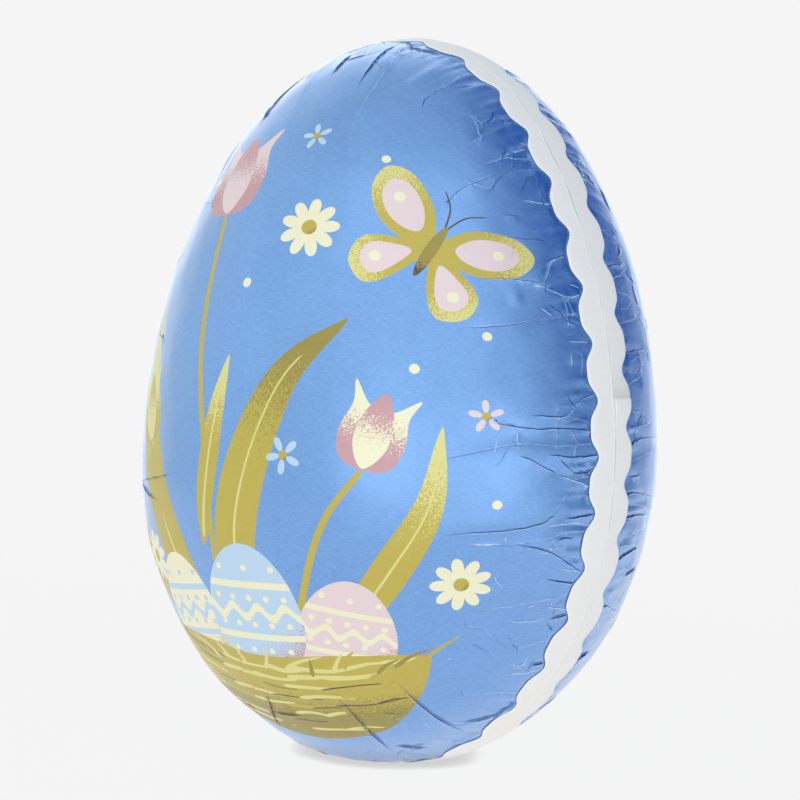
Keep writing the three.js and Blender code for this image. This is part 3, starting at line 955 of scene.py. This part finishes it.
@dataclass(frozen=True)
class SeamRibbon:
    """The white paper ribbon with two wavy edges, stuck round the seam over the gathered foil.

    across is the share of the way from its middle to an edge, negative at the front.
    """

    form: EggForm
    width: float = 14.8
    thickness: float = 0.35
    proud: float = 0.25
    crest: float = 0.15
    scallops: int = 36
    swing: float = 1.5
    sharpness: float = 0.25
    first_crest: float = 12.3
    end: float = 19.0  # where the loose end lies, over the other one
    lap: float = 16.0
    lap_edge: float = 0.4
    rows: int = 980
    groove: float = 0.045  # where the fold's groove runs, across
    crest_width: float = 0.035  # across, over which the fold dies away
    double_share: float = 0.6  # of the thickness, by which the face rises where the ribbon lies double
    front_share: float = 0.35  # of that rise, in front of the fold
    bow: float = 0.1
    cockle: float = 0.025
    edge_dip: float = 0.12
    loose_shade: Pair = (0.45, 3.5)  # of the painted shade beside the loose end: darkness and length
    finish: MattPaper = MattPaper()

    # How dark the painted shade in the groove is, and how far the fold strays across, at places along the
    # seam.
    GROOVE_SHADE = ((-140, 0.3), (-75, 0.15), (-45, 0.4), (-22, 0.15), (-8, 0.5), (19, 0.8), (40, 0.35),
             (56, 0.35), (64, 0.95), (84, 1.0), (98, 0.6), (125, 0.4), (220, 0.4), (290, 0.3))
    DRIFT = ((-140, 0.0), (-60, 0.02), (19, 0.02), (40, -0.04), (60, -0.14), (85, -0.2), (110, -0.16),
             (150, 0.0))
    FACE = (-1.0, -0.985, -0.96, -0.9, -0.8, -0.65, -0.5, -0.35, -0.2, -0.1, -0.05, -0.025, 0.0,
            0.02, 0.045, 0.07, 0.1, 0.2, 0.35, 0.5, 0.65, 0.8, 0.9, 0.96, 0.985, 1.0)
    UNDERSIDE = (0.97, 0.0, -0.97)
    COCKLES = ((23, 3, 0), (41, -2, 1))  # waves round the seam, and how each leans and starts

    def edge(self, along: Array, side: float | Array) -> Array:
        """Gives how far the front edge, at side -1, or the back one, at 1, is from the seam."""
        turn = (along - self.first_crest) / self.form.seam_length * self.scallops * FULL_TURN
        return self.width / 2 + self.swing * (-side * np.cos(turn) - self.sharpness * np.cos(2 * turn))

    def by_place(self, knots: Path, along: Array) -> Array:
        """Reads a value that changes along the seam, from places that run both ways from +X."""
        half = self.form.seam_length / 2
        return np.interp(np.where(along > half, along - 2 * half, along), *np.transpose(knots))

    def lift(self, along: Array, across: Array) -> Array:
        """Gives the height of the ribbon's face over the foil.

        Args:
            along: Places along the seam.
            across: Places across the ribbon.

        Returns:
            The heights.
        """
        doubled = smooth(along, self.end - self.lap, self.end - self.lap / 2)
        doubled = doubled * (1 - smooth(along, self.end - self.lap_edge / 2, self.end + self.lap_edge / 2))
        rise = self.front_share + (1 - self.front_share) * smooth(across, -0.02, 0.04)
        fold = np.exp(-np.abs(across) / self.crest_width) - 1.5 * bell(across, self.groove, 0.02)
        turn = along / self.form.seam_length * FULL_TURN
        cockle = sum(np.sin(turn * waves + lean * across + start) for waves, lean, start in self.COCKLES)
        dip = smooth(np.abs(across), 0.93, 1.0)
        return (self.proud + self.thickness * self.double_share * doubled * rise + self.crest * fold
                + self.cockle * cockle + self.bow * (1 - across**2) - self.edge_dip * dip)

    def marks(self, along: Array, across: Array) -> dict[str, Array]:
        """Works out where shade and highlights are painted on the paper.

        Args:
            along: Places along the seam.
            across: Places across the ribbon.

        Returns:
            fold, the painted shade in the groove and beside the loose end, and the painted highlights
            along the edges and on the strip where the ribbon lies double.
        """
        # Painted shade along the groove of the fold, darker at some places along the seam.
        dust_and_shade = bell(across, self.groove, 0.027) * self.by_place(self.GROOVE_SHADE, along)
        darkness, length = self.loose_shade
        # Painted shade beside the loose end.
        shade = smooth(across, 0.0, 0.03) * (along > self.end) * np.exp(-(along - self.end) / length)
        # Painted highlight on a strip beside the fold where the ribbon lies double.
        strip = bell(across, 0.1, 0.035) * smooth(along, self.end - 11, self.end - 2) * (along < self.end)
        # Painted highlights along the edges.
        painted_highlight = smooth(np.abs(across), 0.955, 0.985)
        return {"fold": np.maximum(dust_and_shade, darkness * shade), "painted_highlight": np.maximum(painted_highlight, strip)}

    def build(self) -> bpy.types.Object:
        """Builds the ribbon.

        Returns:
            Its mesh object.
        """
        columns = np.array([*self.FACE, *self.UNDERSIDE])
        count = len(columns)
        face = np.arange(count) < len(self.FACE)
        along, across = np.meshgrid(self.form.even_places(self.rows), columns, indexing="ij")
        shifted = across + face * self.by_place(self.DRIFT, along) * (1 - across**2)
        away = self.edge(along, np.sign(shifted)) * shifted
        lift = np.where(face, self.lift(along, across), self.proud - self.thickness)
        points = self.form.skin(along.ravel(), away.ravel(), 1.0)
        points += self.form.normal(points) * lift.ravel()[:, None]
        points = self.form.stood(points, np.tile(np.where(face, 0.0, self.thickness), self.rows))
        i, j = np.meshgrid(np.arange(self.rows), np.arange(count), indexing="ij")
        after, beside = (i + 1) % self.rows * count, (j + 1) % count
        quads = np.stack([i * count + j, i * count + beside, after + beside, after + j], -1).reshape(-1, 4)
        made = mesh_object("ribbon", points, quads, self.finish.material("ribbon_paper"))
        store(made, self.marks(along, across))
        return made


def mesh_object(name: str, points: Array, faces: Array, material: bpy.types.Material) -> bpy.types.Object:
    """Makes a smooth mesh object.

    Args:
        name: Its name.
        points: Its vertices in millimetres.
        faces: Corner numbers of its faces, which all have as many corners.
        material: Its material.

    Returns:
        The object, in the scene.
    """
    mesh = bpy.data.meshes.new(name)
    mesh.vertices.add(len(points))
    mesh.vertices.foreach_set("co", (points * MM).astype(np.float32).ravel())
    mesh.loops.add(faces.size)
    mesh.loops.foreach_set("vertex_index", faces.astype(np.int32).ravel())
    mesh.polygons.add(len(faces))
    mesh.polygons.foreach_set("loop_start", np.arange(0, faces.size, faces.shape[1], dtype=np.int32))
    mesh.polygons.foreach_set("use_smooth", np.ones(len(faces), bool))
    mesh.update(calc_edges=True)
    mesh.materials.append(material)
    made = bpy.data.objects.new(name, mesh)
    bpy.context.scene.collection.objects.link(made)
    return made


def store(made: bpy.types.Object, values: dict[str, Array], kind: str = "FLOAT",
          domain: str = "POINT") -> None:
    """Stores values by name for each vertex of a mesh, or for each corner.

    Args:
        made: The mesh object.
        values: The values of each name, in the mesh's order.
        kind: FLOAT for numbers, FLOAT_COLOR for colours.
        domain: POINT for vertices, CORNER for corners.
    """
    for name, numbers in values.items():
        layer = made.data.attributes.new(name, kind, domain)
        layer.data.foreach_set("color" if kind == "FLOAT_COLOR" else "value",
                               numbers.astype(np.float32).ravel())


@dataclass
class FoilSheet:
    """One sheet of foil round half an egg, closed at the seam by the face that its shell has there."""

    name: str
    form: EggForm
    ribbon: SeamRibbon
    side: float
    drawn: list[Crease]
    bare_seam: Pair  # the stretch of seam whose creases aren't listed
    seed: int
    picture: list[Motif] = field(default_factory=list)
    finish: LacqueredFoil = LacqueredFoil()
    spacing: float = 1.2
    clearance: float = 0.3
    seat: float = 0.12  # how deep the ribbon presses the foil in
    pleat_spacing: float = 4.2
    crinkles: int = 210
    edge_gloom: float = 0.75  # darkness of the painted shadow line beside the ribbon
    gather_height: float = 0.14

    BORDER_STEP = 1.1
    GUIDE_GAP = 0.55  # between the grid and the points that follow a crease
    GUIDE_CELL = 0.055  # only one such point is kept in each cell of this size
    SEAM_GAP = 1.0  # between the seam and those points
    RIBBON_STEP = 0.7
    RIBBON_ROWS = (-0.3, -0.05, 0.12, 0.3, 0.6)  # where the mesh has points beside the ribbon
    REACH = 7.0  # how far from a crease the foil still moves
    FORK_FROM = 8.5  # from the seam, where the crinkles beside the ribbon start
    DARK = (0.1, 0.13)  # off a crease's ridge to its line of painted shade, and half the line's width
    BRIGHT = (-0.07, 0.1)  # the same of its worn line
    GLOOM = (0.12, 0.3)  # the same of the painted shadow line beside the ribbon, from its edge
    # How much the painted shadow line beside the ribbon varies along the seam.
    GLOOM_SWING = 0.25
    SEATED = (-0.2, 1.0)  # from the ribbon's edge, where the foil comes up from under it
    FLAT = 2.0  # from the ribbon's edge, over which the foil comes down to the table
    VALLEY_SHARE = 0.6  # of a crease's spread, over which its valley dies away
    LIFT_END = 0.9  # how far past a crease's end its lift reaches
    MARK_END = 0.5  # the same of its marks
    LOWEST, HIGHEST = -0.6, 0.7  # the most that creases which meet may sink and rise
    GATHERS = (38, 47, 59, 71, 83, 97, 113)  # waves round the seam
    GATHER_FROM = 8.0  # from the seam, where the gathers begin to fade
    DENTS = ((34.0, 0.12), (16.0, 0.05), (7.0, 0.018))  # size and height of each kind
    DENTS_EACH = 7

    # Of the pleats drawn by lot: the share of long ones, and how far long and short ones reach and drift.
    LONG_SHARE = 0.22
    LONG_REACH, SHORT_REACH = (26, 46), (11, 24)
    LONG_DRIFT, SHORT_DRIFT = (-6, 6), (-2.5, 2.5)
    WORN_PLEATS = 0.3  # the share of worn ones
    # Of the crinkles: the shares that stand alone and that are worn, and how they are drawn.
    LONE_CRINKLES = 0.6
    WORN_CRINKLES = 0.6
    CRINKLE_SPREAD = 5.5  # mean distance past the place where the first ones start
    CRINKLE_STEP = (0.9, 3.4)
    CRINKLE_LEAN, CRINKLE_BEND = 0.8, 0.5  # in radians, off the way out and at each step
    CRINKLE_NEAREST = 8.0  # to the seam

    def lots(self) -> list[Crease]:
        """Draws by lot the creases that aren't listed.

        Returns:
            Pleats along the bare stretch of seam, and fine crinkles all the way round, some of which
            fork off the one before.
        """
        draw = np.random.default_rng(self.seed)
        made = []
        start, stop = self.bare_seam
        for k in range(int((stop - start) / self.pleat_spacing)):
            along = start + (k + draw.uniform(0.1, 0.9)) * self.pleat_spacing
            long = draw.random() < self.LONG_SHARE
            reach = draw.uniform(*(self.LONG_REACH if long else self.SHORT_REACH))
            drift = draw.uniform(*(self.LONG_DRIFT if long else self.SHORT_DRIFT))
            first = draw.uniform(6, 10)
            kind = CreaseKind.WORN if draw.random() < self.WORN_PLEATS else CreaseKind.PRESSED
            bend = draw.uniform(0.2, 0.7)
            middle = (along + drift * bend, first + (reach - first) * draw.uniform(0.35, 0.65))
            path = ((along, first), middle, (along + drift, reach))
            made.append(Crease(kind, path, 1 if draw.random() < 0.5 else -1, draw.uniform(0.45, 1.0)))
        fork = (start, self.FORK_FROM)
        for _ in range(self.crinkles):
            along = draw.uniform(0, self.form.seam_length)
            away = self.FORK_FROM + draw.exponential(self.CRINKLE_SPREAD)
            path = [(along, away) if draw.random() < self.LONE_CRINKLES else fork]
            turn = draw.normal(0, self.CRINKLE_LEAN)
            step = draw.uniform(*self.CRINKLE_STEP)
            for _ in range(3):
                turn += draw.normal(0, self.CRINKLE_BEND)
                along, away = path[-1][0] + step * math.sin(turn), path[-1][1] + step * math.cos(turn)
                path.append((along, max(away, self.CRINKLE_NEAREST)))
            fork = path[2]
            kind = CreaseKind.WORN if draw.random() < self.WORN_CRINKLES else CreaseKind.PRESSED
            turned = 1 if draw.random() < 0.5 else -1
            made.append(Crease(kind, tuple(path), turned, draw.uniform(0.1, 0.6)))
        return made

    def plan(self, lines: list[Crease]) -> tuple[Array, list[Pair]]:
        """Chooses the points of the sheet.

        Args:
            lines: All creases.

        Returns:
            Points of the unrolled sheet, border first, and the pairs of them that share an edge.
        """
        along = self.form.even_places(round(self.form.seam_length / self.BORDER_STEP))
        points = [self.form.unroll(self.form.skin(along, along * 0 + self.clearance / 2, self.side))]
        edges = []
        total = len(along)
        for motif in self.picture:
            size = len(motif.outline)
            edges += [(total + k, total + (k + 1) % size) for k in range(size)]
            points.append(motif.outline)
            total += size
        guides = []
        for crease in lines:
            path, across, _ = crease.line(self.form, self.side)
            guides += [self.form.unroll(path + across * off) for off in crease.kind.value.rows]
        guides = np.vstack(guides)
        guides = [guides[self.form.place(guides)[1] > self.SEAM_GAP]]
        beside = np.arange(0, self.form.seam_length, self.RIBBON_STEP)
        for gap in self.RIBBON_ROWS:
            row = self.form.skin(beside, self.ribbon.edge(beside, self.side) + gap, self.side)
            guides.append(self.form.unroll(row))
        guides = np.vstack(guides)
        cells = np.unique(np.round(guides / self.GUIDE_CELL), axis=0, return_index=True)[1]
        points.append(guides[np.sort(cells)])
        return np.vstack([*points, self.grid(np.vstack(points))]), edges

    def grid(self, taken: Array) -> Array:
        """Fills the sheet with an even grid.

        Args:
            taken: Points that are there already.

        Returns:
            The points of the grid that are clear of them.
        """
        high = self.form.upper * math.pi / 2
        wide = self.form.radius * math.pi / 2
        rows = np.arange(-high, high, self.spacing * math.sqrt(3) / 2)
        x, y = np.meshgrid(np.arange(-wide, wide, self.spacing), rows)
        x = x + (np.arange(len(rows)) % 2)[:, None] * self.spacing / 2
        grid = np.stack([x.ravel(), y.ravel()], -1)
        grid = grid[self.form.place(grid)[1] > self.clearance / 2 + self.spacing / 2]
        size = int(2 * high / self.GUIDE_GAP) + 3
        full = np.zeros((size, size), bool)
        i, j = ((taken + high) / self.GUIDE_GAP).astype(int).T + 1
        for di in (-1, 0, 1):
            for dj in (-1, 0, 1):
                full[np.clip(i + di, 0, size - 1), np.clip(j + dj, 0, size - 1)] = True
        i, j = ((grid + high) / self.GUIDE_GAP).astype(int).T + 1
        return grid[~full[i, j]]

    def relief(self, points: Array, lines: list[Crease]) -> tuple[Array, Array, Array]:
        """Works out how the creases move and mark the foil.

        Args:
            points: Points of the smooth egg.
            lines: All creases.

        Returns:
            The lift, the painted shade in the valleys and the wear at each point.
        """
        lift, painted_shade, wear = np.zeros((3, len(points)))
        for crease in lines:
            section = crease.kind.value
            line, across, share = crease.line(self.form, self.side)
            near = np.flatnonzero(np.all((points > line.min(0) - self.REACH)
                                         & (points < line.max(0) + self.REACH), axis=1))
            gap = points[near, None, :] - line[None]
            nearest = (gap**2).sum(-1).argmin(1)
            gap = gap[np.arange(len(near)), nearest]
            off = (gap * across[nearest]).sum(-1)
            beyond = np.sqrt(np.maximum((gap**2).sum(-1) - off**2, 0))
            gentle = section.ridge * np.exp(np.minimum(off, 0) / section.spread)
            steep = (section.ridge + section.valley) * np.maximum(1 - off / section.drop, 0)
            steep -= section.valley * np.exp(-np.maximum(off, 0) / (section.spread * self.VALLEY_SHARE))
            lift[near] += np.where(off < 0, gentle, steep) * share[nearest] * bell(beyond, 0.0, self.LIFT_END)
            mark = np.sqrt(share[nearest]) * bell(beyond, 0.0, self.MARK_END)
            # Painted shade along each crease's valley.
            painted_shade[near] = np.maximum(painted_shade[near], section.shade * peak(off, *self.DARK) * mark)
            wear[near] = np.maximum(wear[near], section.wear * peak(off, *self.BRIGHT) * mark)
        return np.clip(lift, self.LOWEST, self.HIGHEST), painted_shade, wear

    def billows(self, points: Array, along: Array, away: Array) -> Array:
        """Works out the soft pleats between the creases, and the slight dents that are everywhere.

        Args:
            points: Points of the smooth egg.
            along: Their places along the seam.
            away: Their distances from it.

        Returns:
            The height at each point.
        """
        draw = np.random.default_rng(self.seed + 1)
        turn = along / self.form.seam_length * FULL_TURN
        made = np.zeros_like(along)
        for waves in self.GATHERS:
            lean, phase, reach = (draw.uniform(*ends) for ends in ((-0.04, 0.04), (0, FULL_TURN), (14, 34)))
            wave = 1 - 2 * np.abs(np.sin(turn * waves + away * lean + phase))
            made += self.gather_height * wave * 30 / waves * (1 - smooth(away, self.GATHER_FROM, reach))
        draw = np.random.default_rng(self.seed + 2)
        for size, height in np.repeat(self.DENTS, self.DENTS_EACH, axis=0):
            way = unit(draw.normal(size=3)) * (FULL_TURN / size)
            made += height / 2 * np.sin(points @ way + draw.uniform(0, FULL_TURN))
        return made

    def build(self) -> bpy.types.Object:
        """Builds the sheet.

        Returns:
            Its mesh object.
        """
        lines = self.drawn + self.lots()
        planned, edges = self.plan(lines)
        corners = [Vector(point) for point in planned.tolist()]
        found, _, triangles, *_ = delaunay_2d_cdt(corners, edges, [], 0, 1e-5)
        sheet = np.array(found, float).reshape(-1, 2)
        along, away = self.form.place(sheet)
        points = self.form.skin(along, away, self.side)
        creased, painted_shade, wear = self.relief(points, lines)
        edge = self.ribbon.edge(along, self.side)
        seated = 1 - smooth(away, edge + self.SEATED[0], edge + self.SEATED[1])
        lift = creased + self.billows(points, along, away)
        lift = lift * (1 - seated) - self.seat * seated
        points = points + self.form.normal(points) * lift[:, None]
        under = 1 - smooth(away, edge, edge + self.FLAT)
        points = self.form.stood(points, (self.clearance + self.ribbon.thickness) * under)

        rim = np.flatnonzero(away < self.clearance / 2 + 0.01)
        rim = rim[np.argsort(along[rim])]
        fan = np.stack([np.full(len(rim), len(points)), np.roll(rim, -1), rim], -1)
        points = np.vstack([points, [0, self.side * self.clearance / 2, self.form.widest_level]])
        faces = np.vstack([np.array(triangles, int).reshape(-1, 3), fan])
        if self.side > 0:
            faces = faces[:, ::-1]
        made = mesh_object(self.name, points, faces, self.finish.material(self.name + "_lacquer"))
        # Painted shadow line on the foil beside the ribbon's edge, kept with the painted shade of the
        # creases.
        gloom = peak(away - edge, *self.GLOOM) * self.edge_gloom
        gloom *= 1 - self.GLOOM_SWING * (1 - np.sin(along * 0.9) * np.sin(along * 0.37 + 1))
        painted_shade = np.maximum(painted_shade * (1 - seated), gloom)
        store(made, {"painted_shade": np.append(painted_shade, 0.0), "wear": np.append(wear, 0.0)})
        self.print_on(made, np.vstack([sheet, [[0.0, 999.0]]])[faces])
        return made

    def print_on(self, made: bpy.types.Object, corners: Array) -> None:
        """Prints the picture on the mesh.

        Args:
            made: The mesh object.
            corners: Where the corners of its faces are on the unrolled sheet.
        """
        middles = corners.mean(1)
        ink, second = np.ones((2, len(corners), 3, 4))
        coverage, amount = np.zeros((2, len(corners), 3))
        for motif in self.picture:
            inside = motif.holds(middles)
            ink[inside] = motif.ink.colour
            coverage[inside] = 1.0
            amount[inside] = 0.0
            if motif.spray:
                second[inside] = motif.spray.ink.colour
                amount[inside] = motif.spray.amount(corners[inside])
        store(made, {"ink": ink, "spray_ink": second}, "FLOAT_COLOR", "CORNER")
        store(made, {"coverage": coverage, "spray": amount}, "FLOAT", "CORNER")


@dataclass(frozen=True)
class Zone:
    """A soft patch of the room round the egg: a lamp that adds light, or a flag that shades it."""

    azimuth: float
    elevation: float
    spread: float
    level: float


@dataclass(frozen=True)
class Studio:
    """A plain pale floor, soft light from all round with blue shade behind the egg, and the camera."""

    middle: float = 0.088
    distance: float = 0.724
    azimuth: float = 38.12
    elevation: float = 4.5
    roll: float = 2.75
    lens: float = 130.8
    shift: Pair = (-0.0024, 0.0021)
    paper_white: Colour = (0.913, 0.913, 0.913, 1.0)
    around: Colour = (0.632, 0.672, 0.662, 1.0)
    lamps: tuple[Zone, ...] = (
        Zone(31, -5, 18, 0.38), Zone(11, 43, 19, 0.45), Zone(72, 42, 17, 0.62), Zone(-47, 15, 40, 0.3),
        Zone(212, -2, 33, 1.0), Zone(84, -6, 16, 0.82), Zone(46, -17, 43, 0.52), Zone(-141, 37, 27, 0.62),
        Zone(85, 62, 40, 0.17),
    )
    flags: tuple[Zone, ...] = (Zone(152, 32, 43, 1.0), Zone(182, 17, 16, 0.5))
    flag_colour: Colour = (0.0, 0.09, 0.34, 1.0)
    floor_radius: float = 0.5
    floor_fade: Pair = (0.26, 0.46)
    floor_colour: Colour = (0.02, 0.02, 0.02, 1.0)
    floor_glow: Colour = (0.893, 0.893, 0.893, 1.0)
    # The painted contact shadow: the floor's glow in it, the reach of its ambient occlusion, and the
    # occlusion values over which it fades out.
    contact_glow: Colour = (0.62, 0.62, 0.62, 1.0)
    contact_reach: float = 0.0036
    contact_share: Pair = (0.0, 0.95)
    floor_rings: int = 24
    floor_sides: int = 96

    def light(self) -> None:
        """Lights the world with a bright room, and shows the camera plain white behind the egg."""
        world = bpy.data.worlds.new("studio")
        world.use_nodes = True
        bpy.context.scene.world = world
        g = Graph(world.node_tree)
        way = g.node("ShaderNodeTexCoord", {}, {}, "Generated")
        room: Signal | Colour = self.around
        zones = [("ADD", (1, 1, 1, 1), lamp) for lamp in self.lamps]
        zones += [("MIX", self.flag_colour, flag) for flag in self.flags]
        for blend, shade, zone in zones:
            ends = {0: way, 1: tuple(direction(zone.azimuth, zone.elevation))}
            facing = g.node("ShaderNodeVectorMath", {"operation": "DOT_PRODUCT"}, ends, "Value")
            fall = (facing - 1) * (1 / (1 - math.cos(math.radians(zone.spread))))
            room = g.mix(fall.maths("EXPONENT", fall) * zone.level, room, shade, blend)
        lit = g.node("ShaderNodeBackground", {}, {"Color": room})
        plain = g.node("ShaderNodeBackground", {}, {"Color": self.paper_white})
        seen = g.node("ShaderNodeLightPath", {}, {}, "Is Camera Ray")
        both = g.node("ShaderNodeMixShader", {}, {0: seen, 1: lit, 2: plain})
        g.node("ShaderNodeOutputWorld", {}, {"Surface": both})

    def floor(self) -> None:
        """Lays the floor, which glows like the white round it, with a painted contact shadow that darkens it
        only close to the egg.
        """
        turn = np.linspace(0, FULL_TURN, self.floor_sides, endpoint=False)
        rings = np.linspace(0.0005, self.floor_radius, self.floor_rings)
        points = rings[:, None, None] * np.stack([np.cos(turn), np.sin(turn), turn * 0], -1)
        i, j = np.meshgrid(np.arange(self.floor_rings - 1), np.arange(self.floor_sides), indexing="ij")
        inner, after = i * self.floor_sides, (j + 1) % self.floor_sides
        outer = inner + self.floor_sides
        quads = np.stack([inner + j, outer + j, outer + after, inner + after], -1)
        material = bpy.data.materials.new("pale_floor")
        material.use_nodes = True
        g = Graph(material.node_tree)
        place = g.node("ShaderNodeTexCoord", {}, {}, "Object")
        far = g.node("ShaderNodeVectorMath", {"operation": "LENGTH"}, {0: place}, "Value")
        reach = {"Distance": self.contact_reach}
        # Painted contact shadow: ambient occlusion lowers the floor's glow close to the egg.
        open_share = g.node("ShaderNodeAmbientOcclusion", {"samples": 16}, reach, "AO")
        glow = g.mix(open_share.step(*self.contact_share), self.contact_glow, self.floor_glow)
        surface = g.node("ShaderNodeBsdfPrincipled", {}, {
            "Base Color": self.floor_colour, "Roughness": 0.9, "Specular IOR Level": 0.0,
            "Emission Color": glow, "Emission Strength": 1.0,
        })
        clear = g.node("ShaderNodeBsdfTransparent")
        both = g.node("ShaderNodeMixShader", {}, {0: far.step(*self.floor_fade), 1: surface, 2: clear})
        g.node("ShaderNodeOutputMaterial", {}, {"Surface": both})
        mesh_object("floor", points.reshape(-1, 3) / MM, quads.reshape(-1, 4), material)

    def camera(self) -> None:
        """Sets up the scene's camera, turned to the egg and rolled."""
        data = bpy.data.cameras.new("camera")
        data.sensor_width = 36.0
        data.lens = self.lens
        data.shift_x, data.shift_y = self.shift
        data.clip_start, data.clip_end = 0.05, 10.0
        made = bpy.data.objects.new("camera", data)
        bpy.context.scene.collection.objects.link(made)
        away = direction(self.azimuth, self.elevation)
        turn = (-away).to_track_quat("-Z", "Y").to_matrix().to_4x4()
        place = Matrix.Translation(Vector((0, 0, self.middle)) + away * self.distance)
        made.matrix_world = place @ turn @ Matrix.Rotation(math.radians(self.roll), 4, "Z")
        bpy.context.scene.camera = made


def dress(made: bpy.types.Object, node: str) -> None:
    """Puts a piece in place of its solid.

    Args:
        made: The piece.
        node: The solid that it stands for.
    """
    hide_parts(node)
    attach(made, "root")
    LOG.info("%s: %d vertices, %d faces", made.name, len(made.data.vertices), len(made.data.polygons))


def main() -> None:
    """Builds the egg and its studio."""
    logging.basicConfig(level=logging.INFO, format="%(name)s: %(message)s")
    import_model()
    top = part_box("seam_ribbon")[1].z / MM - SeamRibbon.proud - SeamRibbon.crest
    form = EggForm(radius=-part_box("egg_front")[0].y / MM, height=top)
    ribbon = SeamRibbon(form)
    picture = SpringPicture().build()
    front = FoilSheet("foil_front", form, ribbon, -1.0, FRONT_CREASES, (135, 400), 71, picture)
    back = FoilSheet("foil_back", form, ribbon, 1.0, BACK_CREASES, (98, 425), 29)
    dress(front.build(), "egg_front")
    dress(back.build(), "egg_back")
    dress(ribbon.build(), "seam_ribbon")

    studio = Studio()
    studio.light()
    studio.floor()
    studio.camera()
    bpy.context.scene.view_settings.view_transform = "Standard"


if __name__ == "__main__":
    main()
